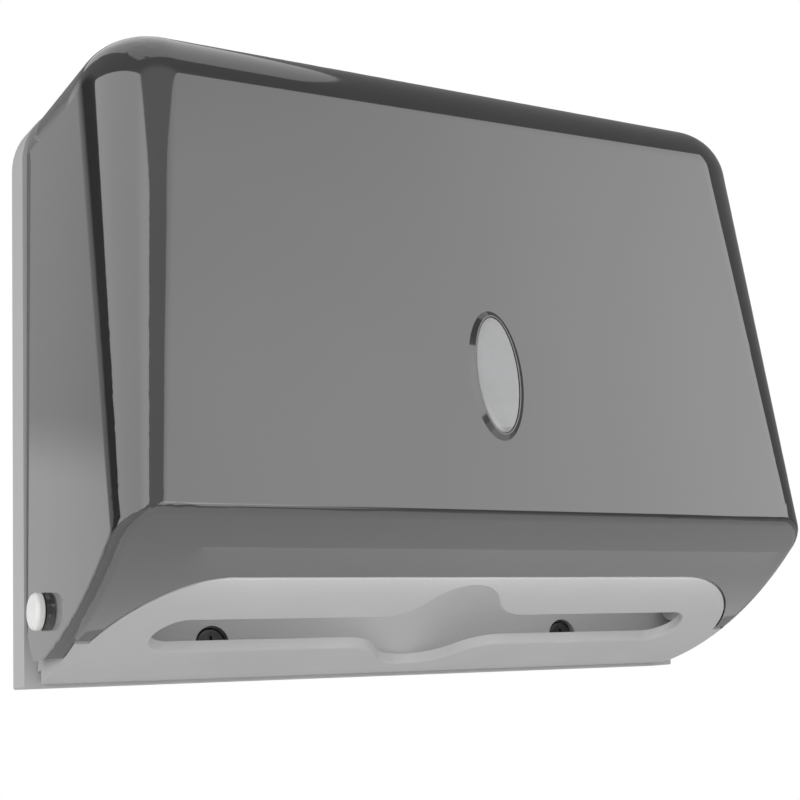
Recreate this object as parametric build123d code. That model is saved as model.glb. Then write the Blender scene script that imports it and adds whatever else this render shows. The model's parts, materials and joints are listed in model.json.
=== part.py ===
"""Wall-mounted dispenser for folded paper towels.

A light grey back plate hangs on the wall and a towel tray of the same grey is screwed to it.
A smoke grey cover turns forward about two white pins low on its sides, and a cam lock in its
top wall hooks it to a bracket on the back plate.

X runs to the right as a person faces the dispenser, Y runs into the wall and Z runs up.
The wall is the plane Y = 0. While the pieces are built, Z = 0 is the lower edge of the back
plate. They are written out with the origin at the middle of the four wall-screw holes.
"""
from build123d import *
from math import atan2, cos, sin, sqrt
import os

os.makedirs("parts", exist_ok=True)

# Back plate
plate_width = 270.0
plate_height = 203.5
plate_depth = 12.0
plate_web = 2.5
plate_rim = 2.5
plate_upper_corner = 24.0
plate_lower_corner = 0.8
rim_flange_width = 3.6
rim_flange_thickness = 3.0
dust_lip_height = 4.0
dust_lip_thickness = 1.5
dust_lip_foot = 60.0
rib_count = 4
rib_pitch = 48.0
rib_width = 2.0
rib_height = 1.5
rib_margin = 8.0

# Wall screws
wall_screw_spacing_x = 180.0
wall_screw_spacing_z = 100.0
wall_screw_row = 50.0
wall_screw_hole = 5.5
wall_screw_pad = 14.0
wall_screw_pad_height = 1.5

# Cover: the corners of its side view, front to back and up from the plate's lower edge
cover_rear_gap = 0.4
cover_top_gap = 0.5
cover_bottom_gap = 1.0
cover_top_depth = 85.0
cover_top_rise = 4.5
cover_crease_depth = 100.4
cover_crease_height = 47.0
underside_sagitta = 7.8
cover_wall = 2.5
cover_side_inset = 0.6
side_draft_forward = 0.0115
side_draft_upward = 0.0055
front_corner_low_radius = 13.0
front_corner_high_radius = 26.8
lower_edge_radius = 4.5
upper_edge_radius = 21.0

# Arched cut-out in the underside of the cover
cutout_edge_setback = 20.7
cutout_corner_radius = 38.0
cutout_side_margin = 7.5
cutout_step_depth = 50.7
cutout_gap = 0.8
cutout_step_gap = 2.0

# Hinge
pivot_depth = 31.2
pivot_height = 23.2
pin_radius = 3.0
pin_running_clearance = 0.05
pin_seat_clearance = 0.02
pin_cap_radius = 6.0
pin_cap_height = 3.0
pin_cap_rounding = 1.6
pin_cap_clearance = 0.3
pin_barb = 0.5
pin_barb_length = 3.0
pin_barb_clearance = 0.1
pin_slit = 1.2
pin_slit_length = 9.0
hinge_boss_radius = 6.1
hinge_boss_height = 1.3
ear_radius = 18.6
ear_bottom_height = 8.2
ear_rounding = 5.0
ear_thickness = 4.0
ear_relief_height = 60.0
ear_relief_depth = 58.0

# Towel tray
tray_side_clearance = 0.4
tray_wall = 2.5
tray_hidden_gap = 0.5
tray_front_setback = 8.8
tray_side_setback = 7.5
tray_rim_height = 8.0
tray_rim_wall = 2.2
tray_edge_radius = 4.0
tray_rear_wall_depth = 22.5
tray_shelf_height = 32.0
cheek_depth = 50.0
cheek_height = 40.0
cheek_rounding = 10.0
cheek_boss_radius = 6.5
cheek_boss_length = 7.0
slot_half_length = 106.5
slot_wing_width = 19.0
slot_rear_bulge = 17.1
slot_front_bulge_half_width = 28.5
slot_rear_bulge_half_width = 31.5
slot_front_margin = 4.6
slot_rear_margin = 1.6
slot_lip_width = 2.0
slot_lip_height = 1.0
slot_edge_radius = 0.9

# Tray screws, in two deep wells
well_spacing = 146.5
well_height = 12.2
well_radius = 6.2
well_tube_wall = 1.4
well_floor_depth = 19.0
well_floor_thickness = 2.0
tray_screw_radius = 1.75
tray_screw_length = 11.0
screw_hole_clearance = 0.15
screw_pilot_clearance = 0.02
tray_screw_head_radius = 5.6
tray_screw_head_height = 2.4
tray_boss_radius = 4.5
pilot_extra_depth = 1.0
recess_width = 0.9
recess_share = 0.5

# Sight window
window_height = 94.8
window_half_width = 8.3
window_half_height = 20.4
window_rim_top_width = 0.5
window_rim_foot_width = 2.3
window_rim_height = 1.2
window_rim_sunk = 0.5
window_flange = 3.0
window_flange_thickness = 1.2
window_plug_clearance = 0.15
window_plug_proud = 0.3
window_plug_rounding = 0.6

# Lock, measured along and square to the sloping top wall
lock_setback = 20.0
lock_sleeve_radius = 6.9
lock_sleeve_length = 14.0
lock_hole_clearance = 0.1
lock_flange_radius = 10.0
lock_flange_thickness = 1.5
lock_flange_bevel = 0.6
barrel_radius = 5.0
barrel_clearance = 0.05
barrel_head_radius = 6.0
barrel_head_thickness = 1.0
key_slot_length = 6.5
key_slot_width = 1.5
key_slot_depth = 5.0
washer_radius = 10.0
washer_thickness = 0.8
nut_across_flats = 17.0
nut_thickness = 4.0
nut_seat_clearance = 0.02
cam_gap = 0.2
cam_thickness = 2.0
cam_length = 20.0
cam_width = 8.0
cam_hub_radius = 6.0
tang_size = 5.0
tang_clearance = 0.02
cam_screw_radius = 1.5
cam_screw_length = 8.0
cam_screw_head_radius = 3.2
cam_screw_head_height = 1.8

# Keeper bracket
keeper_start = 9.0
keeper_width = 12.0
keeper_thickness = 1.5
keeper_tab_gap = 0.7
keeper_tab_reach = 3.0
keeper_arm_gap = 1.3
keeper_foot_length = 22.0
keeper_pad_height = 5.0
keeper_pad_margin = 1.0
keeper_screw_radius = 1.45
keeper_screw_length = 6.5
keeper_screw_head_radius = 2.7
keeper_screw_head_height = 1.8
keeper_screw_spacing = 9.0
keeper_screw_margin = 5.0

# Places worked out from the sizes above
origin_height = wall_screw_row + wall_screw_spacing_z / 2
cover_rear = plate_depth + cover_rear_gap
cover_rear_top = plate_height - cover_top_gap
cover_top_height = cover_rear_top + cover_top_rise
column_height = plate_height + plate_depth
half_plate = plate_width / 2
side_at_rear = half_plate - cover_side_inset
top_slope = atan2(cover_top_height - cover_rear_top, cover_top_depth - cover_rear)
front_lean = atan2(cover_crease_depth - cover_top_depth, cover_top_height - cover_crease_height)
ear_inner_half_width = half_plate - ear_thickness
cutout_half_width = half_plate - cutout_side_margin
cutout_edge_depth = cover_crease_depth - cutout_edge_setback
tray_half_width = ear_inner_half_width - tray_side_clearance
tray_front_depth = cover_crease_depth - tray_front_setback
tray_front_half_width = half_plate - tray_side_setback
slot_bulge_rear_depth = tray_rear_wall_depth + slot_rear_margin
slot_rear_depth = slot_bulge_rear_depth + slot_rear_bulge
slot_front_depth = slot_rear_depth + slot_wing_width
slot_bulge_front_depth = cutout_edge_depth - slot_front_margin
hidden_inset = cover_wall + tray_hidden_gap
surface_tolerance = 0.02
reach = 2 * (plate_width + plate_height)


def underside_circle():
    """Centre (depth, height) and radius of the arc that shapes the underside."""
    rear = Vector(cover_rear, cover_bottom_gap)
    crease = Vector(cover_crease_depth, cover_crease_height)
    chord = (crease - rear).length
    radius = (chord**2 / 4 + underside_sagitta**2) / (2 * underside_sagitta)
    along = (crease - rear).normalized()
    inward = Vector(-along.Y, along.X)
    centre = (rear + crease) * 0.5 + inward * (radius - underside_sagitta)
    return centre, radius


def underside_height(depth, inset=0.0):
    """Height of the underside at a depth, moved into the cover by inset."""
    centre, radius = underside_circle()
    return centre.Y - sqrt((radius - inset) ** 2 - (depth - centre.X) ** 2)


def front_depth(height, inset=0.0):
    """Depth of the leaning front face at a height, moved into the cover by inset."""
    below_top = cover_top_height - height
    return cover_top_depth + below_top * sin(front_lean) / cos(front_lean) - inset / cos(front_lean)


def top_height(depth, inset=0.0):
    """Height of the sloping top face at a depth, moved into the cover by inset."""
    return cover_rear_top + (depth - cover_rear) * sin(top_slope) / cos(top_slope) - inset / cos(top_slope)


def crease_point(inset):
    """Depth and height where the underside meets the front, both moved in by inset."""
    centre, radius = underside_circle()
    foot = Vector(front_depth(centre.Y, inset), centre.Y)
    down = Vector(sin(front_lean), -cos(front_lean))
    from_centre = foot - centre
    along = from_centre.dot(down)
    off = from_centre.dot(from_centre) - (radius - inset) ** 2
    return foot + down * (-along + sqrt(along**2 - off))


def top_front_point(inset):
    """Depth and height where the top meets the front, both moved in by inset."""
    start = Vector(front_depth(cover_top_height, inset), cover_top_height)
    up = Vector(-sin(front_lean), cos(front_lean))
    rise = (top_height(start.X, inset) - start.Y) / (up.Y - up.X * sin(top_slope) / cos(top_slope))
    return start + up * rise


def side_outline(inset):
    """Side view of the cover as a face in the YZ plane, moved in by inset."""
    crease = crease_point(inset)
    corner = top_front_point(inset)
    low = Vector(cover_rear, underside_height(cover_rear, inset))
    middle = Vector((low.X + crease.X) / 2, underside_height((low.X + crease.X) / 2, inset))
    high = Vector(cover_rear, top_height(cover_rear, inset))
    with BuildSketch(Plane.YZ) as outline:
        with BuildLine():
            ThreePointArc((-low.X, low.Y), (-middle.X, middle.Y), (-crease.X, crease.Y))
            Polyline([(-point.X, point.Y) for point in (crease, corner, high, low)])
        make_face()
    return outline.sketch


def corner_radius(height):
    """Radius of the cover's front corners, which grow from the crease to the top."""
    share = (height - cover_crease_height) / (cover_top_height - cover_crease_height)
    return front_corner_low_radius + share * (front_corner_high_radius - front_corner_low_radius)


def side_half_width(depth, height, inset=0.0):
    """Distance from the middle plane to the drafted side wall, moved into the cover by inset."""
    slant = sqrt(1 + side_draft_forward**2 + side_draft_upward**2)
    draft = side_draft_forward * (depth - plate_depth) + side_draft_upward * height
    return side_at_rear - draft - inset * slant


def level_section(height, inset):
    """Level section of the cover with its front corners rounded, carried back past the wall."""
    front = front_depth(height, inset)
    wide = side_half_width(-plate_depth, height, inset)
    narrow = side_half_width(front, height, inset)
    corners = [(-wide, plate_depth), (-narrow, -front), (narrow, -front), (wide, plate_depth)]
    with BuildSketch(Plane.XY.offset(height)) as section:
        with BuildLine():
            Polyline(corners, close=True)
        make_face()
        fillet(section.vertices().group_by(Axis.Y)[0], corner_radius(height) - inset)
    return section.sketch


def cover_body(inset):
    """Rounded solid of the cover's outside, or of its hollow when inset is the wall."""
    column = loft([level_section(0, inset), level_section(column_height, inset)], ruled=True)
    body = column & extrude(side_outline(inset), amount=plate_width, both=True)
    top = body.faces().sort_by(lambda face: face.normal_at().Z)[-1]
    body = fillet(top.edges().sort_by(Axis.Y)[:-1], upper_edge_radius - inset)
    under = body.faces().sort_by(Axis.Z)[0]
    return fillet(under.edges().sort_by(Axis.Y)[:-1], lower_edge_radius - inset)


def cutout_plan(shrink=0.0, step_shrink=0.0):
    """Plan view of the opening under the cover, or of the tray that fills it with a gap."""
    half = cutout_half_width - shrink
    front = cutout_edge_depth - shrink
    radius = cutout_corner_radius - shrink
    with BuildSketch() as plan:
        with Locations((0, -front / 2)):
            Rectangle(2 * half, front)
        fillet(plan.vertices().group_by(Axis.Y)[0], radius)
        with Locations((0, -(cutout_step_depth - step_shrink) / 2)):
            Rectangle(plate_width, cutout_step_depth - step_shrink)
    return plan.sketch


def under_block(plan, low_inset, high_inset):
    """Solid between two surfaces parallel to the underside, within a plan view."""
    centre, radius = underside_circle()
    with BuildSketch(Plane.YZ) as band:
        with Locations((-centre.X, centre.Y)):
            Circle(radius - low_inset)
            Circle(radius - high_inset, mode=Mode.SUBTRACT)
        with Locations((-centre.X, centre.Y + radius)):
            Rectangle(reach, 2 * radius, mode=Mode.SUBTRACT)
    shell = extrude(band.sketch, amount=plate_width, both=True)
    column = extrude(plan, amount=reach, both=True)
    return shell & column


def ear_trim():
    """Cutter that rounds the lower rear end of the cover's side walls about the hinge."""
    ear = along_x(ear_radius, -half_plate, half_plate)
    ear += block(-half_plate, half_plate, pivot_depth, reach, 0, pivot_height)
    ear -= block(-half_plate, half_plate, 0, 2 * reach, -reach, ear_bottom_height)
    low = ear.edges().filter_by(Axis.X).group_by(Axis.Z)[0]
    ear = fillet(low.sort_by(Axis.Y)[-1], ear_rounding)
    trimmed = block(-half_plate, half_plate, -plate_depth, cover_crease_depth, -reach, pivot_height)
    return trimmed - ear


def along_x(radius, start, end, depth=pivot_depth, height=pivot_height):
    """Round bar along X between two distances from the middle plane."""
    centre = Plane(origin=(start, -depth, height), x_dir=(0, 1, 0), z_dir=(1, 0, 0))
    return extrude(centre * Circle(radius), amount=end - start)


def into_wall(radius, x, height, front, back):
    """Round bar along Y from depth front to depth back."""
    face = Plane(origin=(x, -front, height), x_dir=(1, 0, 0), z_dir=(0, 1, 0))
    return extrude(face * Circle(radius), amount=front - back)


def block(x_low, x_high, depth_back, depth_front, z_low, z_high):
    """Box between two values on each axis, with depths counted forward from the wall."""
    size = (x_high - x_low, depth_front - depth_back, z_high - z_low)
    centre = Vector((x_low + x_high) / 2, -(depth_front + depth_back) / 2, (z_low + z_high) / 2)
    return Pos(*centre) * Box(*size)


def window_plane(recess):
    """Plane parallel to the front face at the window's centre, recess below the surface."""
    normal = Vector(0, -cos(front_lean), sin(front_lean))
    surface = Vector(0, -front_depth(window_height), window_height)
    return Plane(origin=surface - normal * recess, x_dir=(1, 0, 0), z_dir=normal)


def lock_plane(height=0.0):
    """Plane parallel to the top wall at the lock's axis, height above the surface."""
    normal = Vector(0, sin(top_slope), cos(top_slope))
    depth = cover_rear + lock_setback * cos(top_slope)
    surface = Vector(0, -depth, top_height(depth))
    return Plane(origin=surface + normal * height, x_dir=(1, 0, 0), z_dir=normal)


def lock_disc(radius, low, high):
    """Round piece on the lock's axis between two heights over the top wall."""
    return extrude(lock_plane(low) * Circle(radius), amount=high - low)


def sloping_box(x_low, x_high, y_low, y_high, low, high):
    """Box in the lock's own directions: across, down the slope to the wall, and out."""
    outline = Pos((x_low + x_high) / 2, (y_low + y_high) / 2) * Rectangle(x_high - x_low, y_high - y_low)
    return extrude(lock_plane(low) * outline, amount=high - low)


def hinge_boss_face():
    """Distance from the middle plane to the outer face of a hinge boss."""
    return side_half_width(pivot_depth, pivot_height) + hinge_boss_height


def make_back_plate():
    """Plate against the wall, with its rim, dust lip, ribs, pads and screw bosses."""
    with BuildSketch(Plane.XZ) as outline:
        with Locations((0, plate_height / 2)):
            Rectangle(plate_width, plate_height)
        fillet(outline.vertices().group_by(Axis.Y)[-1], plate_upper_corner)
        fillet(outline.vertices().group_by(Axis.Y)[0], plate_lower_corner)
    full = outline.sketch

    def within(inset):
        return offset(full, -inset, kind=Kind.INTERSECTION)

    def layer(sketch, back, front):
        return Pos(0, -back, 0) * extrude(sketch, amount=front - back)

    plate = layer(full, 0, plate_depth) - layer(within(plate_rim), plate_web, plate_depth)
    flange_inset = plate_rim + rim_flange_width
    flange_back = plate_depth - rim_flange_thickness
    plate += layer(within(plate_rim) - within(flange_inset), flange_back, plate_depth)
    lip = layer(within(flange_inset - dust_lip_thickness) - within(flange_inset), plate_depth,
                plate_depth + dust_lip_height)
    plate += lip - block(-half_plate, half_plate, 0, reach, 0, dust_lip_foot)
    rib_low = tray_shelf_height + rib_margin
    rib_high = plate_height - flange_inset - rib_margin
    for index in range(rib_count):
        x = (index - (rib_count - 1) / 2) * rib_pitch
        plate += block(x - rib_width / 2, x + rib_width / 2, plate_web, plate_web + rib_height,
                       rib_low, rib_high)
    for x, z in wall_screw_places():
        plate += into_wall(wall_screw_pad / 2, x, z, plate_web + wall_screw_pad_height, 0)
        plate -= into_wall(wall_screw_hole / 2, x, z, plate_depth, -plate_web)
    for x in (-well_spacing / 2, well_spacing / 2):
        plate += into_wall(tray_boss_radius, x, well_height, tray_boss_depth(), 0)
        deepest = well_floor_depth - tray_screw_length - pilot_extra_depth
        pilot = tray_screw_radius + screw_pilot_clearance
        plate -= into_wall(pilot, x, well_height, well_floor_depth, deepest)
    low, high = keeper_foot_range()
    plate += block(keeper_start - keeper_pad_margin, keeper_start + keeper_width + keeper_pad_margin,
                   0, plate_web + keeper_pad_height, low - keeper_pad_margin, high)
    for z in keeper_screw_heights():
        deepest = keeper_foot_depth() + keeper_thickness - keeper_screw_length - pilot_extra_depth / 2
        pilot = keeper_screw_radius + screw_pilot_clearance
        plate -= into_wall(pilot, keeper_start + keeper_width / 2, z, keeper_foot_depth(), deepest)
    return plate


def wall_screw_places():
    """Centres of the four wall-screw holes, across and up."""
    places = []
    for x in (-wall_screw_spacing_x / 2, wall_screw_spacing_x / 2):
        for z in (wall_screw_row, wall_screw_row + wall_screw_spacing_z):
            places.append((x, z))
    return places


def tray_boss_depth():
    """Depth of the front end of the bosses that the tray screws bite into."""
    return well_floor_depth - well_floor_thickness


def bell(half, base_depth, peak_depth):
    """Widening in the middle of the slot, bounded by two equal arcs on each side."""
    midway = (-half / 2, -(base_depth + peak_depth) / 2)
    with BuildSketch() as shape:
        with BuildLine():
            left = TangentArc((-half, -base_depth), midway, tangent=(1, 0))
            crest = TangentArc(left @ 1, (0, -peak_depth), tangent=left % 1)
            mirror(left, about=Plane.YZ)
            mirror(crest, about=Plane.YZ)
            Line((-half, -base_depth), (half, -base_depth))
        make_face()
    return shape.sketch


def slot_plan(grow):
    """Plan view of the dispensing slot, made larger all round by grow."""
    wing = slot_front_depth - slot_rear_depth
    with BuildSketch() as plan:
        with Locations((0, -(slot_front_depth + slot_rear_depth) / 2)):
            SlotOverall(2 * slot_half_length, wing)
        add(bell(slot_front_bulge_half_width, slot_front_depth, slot_bulge_front_depth))
        add(bell(slot_rear_bulge_half_width, slot_rear_depth, slot_bulge_rear_depth))
    return offset(plan.sketch, grow) if grow else plan.sketch


def tray_front_plan(inset):
    """Plan view of the part of the tray that the cover hides."""
    half = tray_front_half_width - inset
    front = tray_front_depth - inset
    with BuildSketch() as plan:
        with Locations((0, -(front + cheek_depth / 2) / 2)):
            Rectangle(2 * half, front - cheek_depth / 2)
        fillet(plan.vertices().group_by(Axis.Y)[0], front_corner_low_radius - inset)
    return plan.sketch


def above_underside(inset=0.0):
    """All the space above a surface parallel to the underside."""
    wide = Pos(0, -cover_crease_depth / 2) * Rectangle(reach, cover_crease_depth)
    return under_block(wide, inset, underside_circle()[1] / 2)


def make_towel_tray():
    """Tray with its flush underside, slot, side cheeks, hinge bosses and stepped rear."""
    inner_half = tray_half_width - tray_wall
    outside = block(-tray_half_width, tray_half_width, cover_rear, reach, -reach, reach)
    flush = cutout_plan(cutout_gap, cutout_step_gap)
    base = under_block(flush, 0, hidden_inset + tray_wall) & outside
    for side in (-1, 1):
        end = base.faces().sort_by(lambda face: face.center().X * side)[-1]
        base = fillet(end.edges().sort_by(Axis.Z)[0], tray_edge_radius)
    base += under_block(tray_front_plan(0), hidden_inset, hidden_inset + tray_wall)
    rim_plan = tray_front_plan(0) - tray_front_plan(tray_rim_wall)
    base += under_block(rim_plan, hidden_inset, hidden_inset + tray_rim_height)
    pocket = offset(flush, -tray_wall) + Pos(0, -cover_rear) * Rectangle(2 * inner_half, 2 * cover_rear)
    deep = under_block(pocket, tray_wall, hidden_inset + tray_rim_height + tray_wall)
    tray = base - (deep & block(-inner_half, inner_half, 0, reach, -reach, reach))

    rear_wall = block(-inner_half, inner_half, tray_rear_wall_depth - tray_wall, tray_rear_wall_depth,
                      0, tray_shelf_height)
    cheek = block(-tray_half_width, tray_half_width, cover_rear, cheek_depth, 0, cheek_height)
    corner = cheek.edges().filter_by(Axis.X).sort_by(lambda edge: edge.center().Z - edge.center().Y)[-1]
    cheek = fillet(corner, cheek_rounding) - block(-inner_half, inner_half, 0, reach, -reach, reach)
    tray += cheek & above_underside(tray_edge_radius)
    tray += rear_wall & above_underside(tray_wall / 2)
    tray += block(-inner_half, inner_half, plate_web, tray_rear_wall_depth,
                  tray_shelf_height - tray_wall, tray_shelf_height)
    for x in (-well_spacing / 2, well_spacing / 2):
        tray += into_wall(well_radius + well_tube_wall, x, well_height, tray_rear_wall_depth,
                          tray_boss_depth())
        tray -= into_wall(well_radius, x, well_height, tray_rear_wall_depth, well_floor_depth)
        shank = tray_screw_radius + screw_hole_clearance
        tray -= into_wall(shank, x, well_height, tray_rear_wall_depth, tray_boss_depth())
    boss_start = inner_half - cheek_boss_length
    for side in (-1, 1):
        tray += along_x(cheek_boss_radius, side * boss_start, side * inner_half)
        tray -= along_x(pin_radius + pin_seat_clearance, side * boss_start, side * tray_half_width)
    tray += under_block(slot_plan(slot_lip_width), tray_wall, tray_wall + slot_lip_height)
    tray -= extrude(slot_plan(0), amount=cheek_height, both=True)
    return fillet(slot_edges(tray), slot_edge_radius)


def slot_edges(tray):
    """Lower edges of the dispensing slot: those on the underside, clear of the tray's outline."""
    def on_slot(edge):
        middle = edge @ 0.5
        across = abs(middle.X) < slot_half_length + slot_lip_width
        rear = slot_bulge_rear_depth - slot_lip_width
        front = slot_bulge_front_depth + slot_lip_width
        on_underside = abs(middle.Z - underside_height(-middle.Y)) < surface_tolerance
        return across and rear < -middle.Y < front and on_underside
    return tray.edges().filter_by(on_slot)


def make_tray_screw(x):
    """Pan-headed screw at the floor of a well."""
    screw = into_wall(tray_screw_radius, x, well_height, well_floor_depth,
                      well_floor_depth - tray_screw_length)
    top = well_floor_depth + tray_screw_head_height
    head = into_wall(tray_screw_head_radius, x, well_height, top, well_floor_depth)
    head = fillet(head.edges().sort_by(Axis.Y)[0], tray_screw_head_height * recess_share)
    recess = cross_recess(x, well_height, top, tray_screw_head_radius, tray_screw_head_height)
    return screw + head - recess


def cross_recess(x, height, top, head_radius, head_height):
    """Cross-shaped socket in a screw head that faces forward."""
    long_half = head_radius / 2
    short_half = recess_width / 2
    low = top - head_height * recess_share
    upright = block(x - short_half, x + short_half, low, top, height - long_half, height + long_half)
    level = block(x - long_half, x + long_half, low, top, height - short_half, height + short_half)
    return upright + level


def make_front_cover():
    """Hollow cover with its hinge bosses, cut-out, rounded ears, window and lock hole."""
    hollow = cover_body(cover_wall)
    hollow += extrude(hollow.faces().sort_by(Axis.Y)[-1], amount=plate_depth)
    cover = cover_body(0) - hollow
    boss_face = hinge_boss_face()
    for side in (-1, 1):
        cover += along_x(hinge_boss_radius, side * ear_inner_half_width, side * boss_face)
    relief = block(-ear_inner_half_width, ear_inner_half_width, 0, ear_relief_depth, 0, ear_relief_height)
    cover -= relief & above_underside(cover_wall)
    opening = extrude(cutout_plan(), amount=ear_relief_height, both=True)
    cover -= opening & block(-ear_inner_half_width, ear_inner_half_width, 0, reach, -reach, reach)
    cover -= ear_trim()
    for side in (-1, 1):
        bore = along_x(pin_radius + pin_running_clearance, 0, side * plate_width)
        cover -= bore
    cover = cover + window_rim() - window_hole()
    return cover - lock_disc(lock_sleeve_radius + lock_hole_clearance, -lock_sleeve_length, cover_wall)


def window_hole():
    """Oval hole through the front wall and its raised rim."""
    return extrude(window_plane(2 * cover_wall) * Ellipse(window_half_width, window_half_height),
                   amount=4 * cover_wall)


def window_rim():
    """Raised rim round the oval hole, wider at its foot, which is sunk into the front wall."""
    flare = (window_rim_foot_width - window_rim_top_width) / window_rim_height

    def outline(height):
        width = window_rim_top_width + flare * (window_rim_height - height)
        return window_plane(-height) * Ellipse(window_half_width + width, window_half_height + width)

    return loft([outline(-window_rim_sunk), outline(window_rim_height)])


def make_sight_window():
    """Lens whose flange lies behind the front wall and whose middle fills the rim."""
    half_width = window_half_width - window_plug_clearance
    half_height = window_half_height - window_plug_clearance
    plug = extrude(window_plane(cover_wall) * Ellipse(half_width, half_height),
                   amount=cover_wall + window_rim_height + window_plug_proud)
    plug = fillet(plug.edges().sort_by(Axis.Y)[0], window_plug_rounding)
    outline = Ellipse(window_half_width + window_flange, window_half_height + window_flange)
    flange = extrude(window_plane(cover_wall + window_flange_thickness) * outline,
                     amount=window_flange_thickness)
    return flange + plug


def make_hinge_pin(side):
    """White pin with a domed head outside the cover and a split barbed tip inside the tray."""
    base = hinge_boss_face() + pin_cap_clearance
    tip_root = tray_half_width - tray_wall - cheek_boss_length - pin_barb_clearance
    tip = tip_root - pin_barb_length
    head = along_x(pin_cap_radius, base, base + pin_cap_height)
    head = fillet(head.edges().sort_by(Axis.X)[-1], pin_cap_rounding)
    barb_base = Plane(origin=(tip_root, -pivot_depth, pivot_height), x_dir=(0, 1, 0), z_dir=(1, 0, 0))
    barb_tip = Plane(origin=(tip, -pivot_depth, pivot_height), x_dir=(0, 1, 0), z_dir=(1, 0, 0))
    barb = loft([barb_tip * Circle(pin_radius - pin_barb), barb_base * Circle(pin_radius + pin_barb)])
    slit = block(tip, tip + pin_slit_length, 0, reach,
                 pivot_height - pin_slit / 2, pivot_height + pin_slit / 2)
    pin = head + along_x(pin_radius, tip_root, base) + barb - slit
    return pin if side > 0 else mirror(pin, about=Plane.YZ)


def make_lock_housing():
    """Flanged sleeve through the top wall."""
    flange = lock_disc(lock_flange_radius, 0, lock_flange_thickness)
    flange = chamfer(flange.edges().sort_by(Axis.Z)[-1], lock_flange_bevel)
    sleeve = flange + lock_disc(lock_sleeve_radius, -lock_sleeve_length, 0)
    sleeve -= lock_disc(barrel_radius + barrel_clearance, -lock_sleeve_length, lock_flange_thickness)
    seat = lock_flange_thickness - barrel_head_thickness - barrel_clearance
    return sleeve - lock_disc(barrel_head_radius + barrel_clearance, seat, lock_flange_thickness)


def cam_top():
    """Height of the cam's upper face over the top wall."""
    return -lock_sleeve_length - cam_gap


def make_lock_barrel():
    """Key barrel with a slotted head and a square tang for the cam."""
    barrel = lock_disc(barrel_radius, cam_top(), lock_flange_thickness)
    head_low = lock_flange_thickness - barrel_head_thickness
    barrel += lock_disc(barrel_head_radius, head_low, lock_flange_thickness)
    half = tang_size / 2
    barrel += sloping_box(-half, half, -half, half, cam_top() - cam_thickness, cam_top())
    socket_floor = lock_flange_thickness - key_slot_depth
    across, along = key_slot_length / 2, key_slot_width / 2
    barrel -= sloping_box(-across, across, -along, along, socket_floor, lock_flange_thickness)
    low = cam_top() - cam_thickness
    return barrel - lock_disc(cam_screw_radius + screw_pilot_clearance, low, low + cam_screw_length)


def make_lock_washer():
    """Flat washer under the nut."""
    ring = lock_disc(washer_radius, -cover_wall - washer_thickness, -cover_wall)
    return ring - lock_disc(lock_sleeve_radius + nut_seat_clearance, -lock_sleeve_length, 0)


def make_lock_nut():
    """Six-sided nut that clamps the sleeve."""
    top = -cover_wall - washer_thickness
    outline = RegularPolygon(nut_across_flats / 2, 6, major_radius=False)
    nut = extrude(lock_plane(top - nut_thickness) * outline, amount=nut_thickness)
    return nut - lock_disc(lock_sleeve_radius + nut_seat_clearance, -lock_sleeve_length, 0)


def make_lock_cam():
    """Arm on the barrel's tang, pointing to the wall while the lock is open."""
    low = cam_top() - cam_thickness
    arm = sloping_box(-cam_width / 2, cam_width / 2, 0, cam_length, low, cam_top())
    upright = arm.edges().filter_by(Axis((0, 0, 0), lock_plane().z_dir))
    arm = fillet(upright.sort_by(Axis.Y)[-2:], cam_width / 4)
    half = tang_size / 2 + tang_clearance
    hole = sloping_box(-half, half, -half, half, low, cam_top())
    return arm + lock_disc(cam_hub_radius, low, cam_top()) - hole


def make_lock_cam_screw():
    """Screw that holds the cam on the barrel."""
    low = cam_top() - cam_thickness
    shank = lock_disc(cam_screw_radius, low, low + cam_screw_length - pilot_extra_depth)
    head = lock_disc(cam_screw_head_radius, low - cam_screw_head_height, low)
    return shank + fillet(head.edges().sort_by(Axis.Z)[0], cam_screw_head_height * recess_share)


def arm_top():
    """Height of the keeper arm's upper face over the top wall."""
    return cam_top() - cam_thickness - keeper_arm_gap


def keeper_foot_depth():
    """Depth of the front of the pad that the keeper's foot lies on."""
    return plate_web + keeper_pad_height


def keeper_foot_range():
    """Lowest and highest height of the keeper's foot on its pad."""
    high = top_height(keeper_foot_depth(), -arm_top())
    return high - keeper_foot_length, high


def keeper_screw_heights():
    """Heights of the two keeper screws."""
    low = keeper_foot_range()[0] + keeper_screw_margin
    return low, low + keeper_screw_spacing


def make_lock_keeper():
    """Folded steel strip with a foot on the plate, an arm under the cam and a tab before it."""
    end = keeper_start + keeper_width
    tab_back = -cam_width / 2 - keeper_tab_gap
    arm_low = arm_top() - keeper_thickness
    arm = sloping_box(keeper_start, end, tab_back - keeper_thickness, 2 * lock_setback, arm_low, arm_top())
    arm -= block(-reach, reach, -reach, keeper_foot_depth(), -reach, reach)
    tab = sloping_box(keeper_start, end, tab_back - keeper_thickness, tab_back,
                      arm_low, cam_top() + keeper_tab_reach)
    low, high = keeper_foot_range()
    foot = block(keeper_start, end, keeper_foot_depth(), keeper_foot_depth() + keeper_thickness, low, high)
    keeper = arm + tab + foot
    for z in keeper_screw_heights():
        hole = keeper_screw_radius + screw_hole_clearance
        front = keeper_foot_depth() + keeper_thickness
        keeper -= into_wall(hole, keeper_start + keeper_width / 2, z, front, keeper_foot_depth())
    return keeper


def make_keeper_screw(z):
    """Pan-headed screw through the keeper's foot."""
    x = keeper_start + keeper_width / 2
    seat = keeper_foot_depth() + keeper_thickness
    top = seat + keeper_screw_head_height
    head = into_wall(keeper_screw_head_radius, x, z, top, seat)
    head = fillet(head.edges().sort_by(Axis.Y)[0], keeper_screw_head_height * recess_share)
    screw = head + into_wall(keeper_screw_radius, x, z, seat, seat - keeper_screw_length)
    return screw - cross_recess(x, z, top, keeper_screw_head_radius, keeper_screw_head_height)


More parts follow.
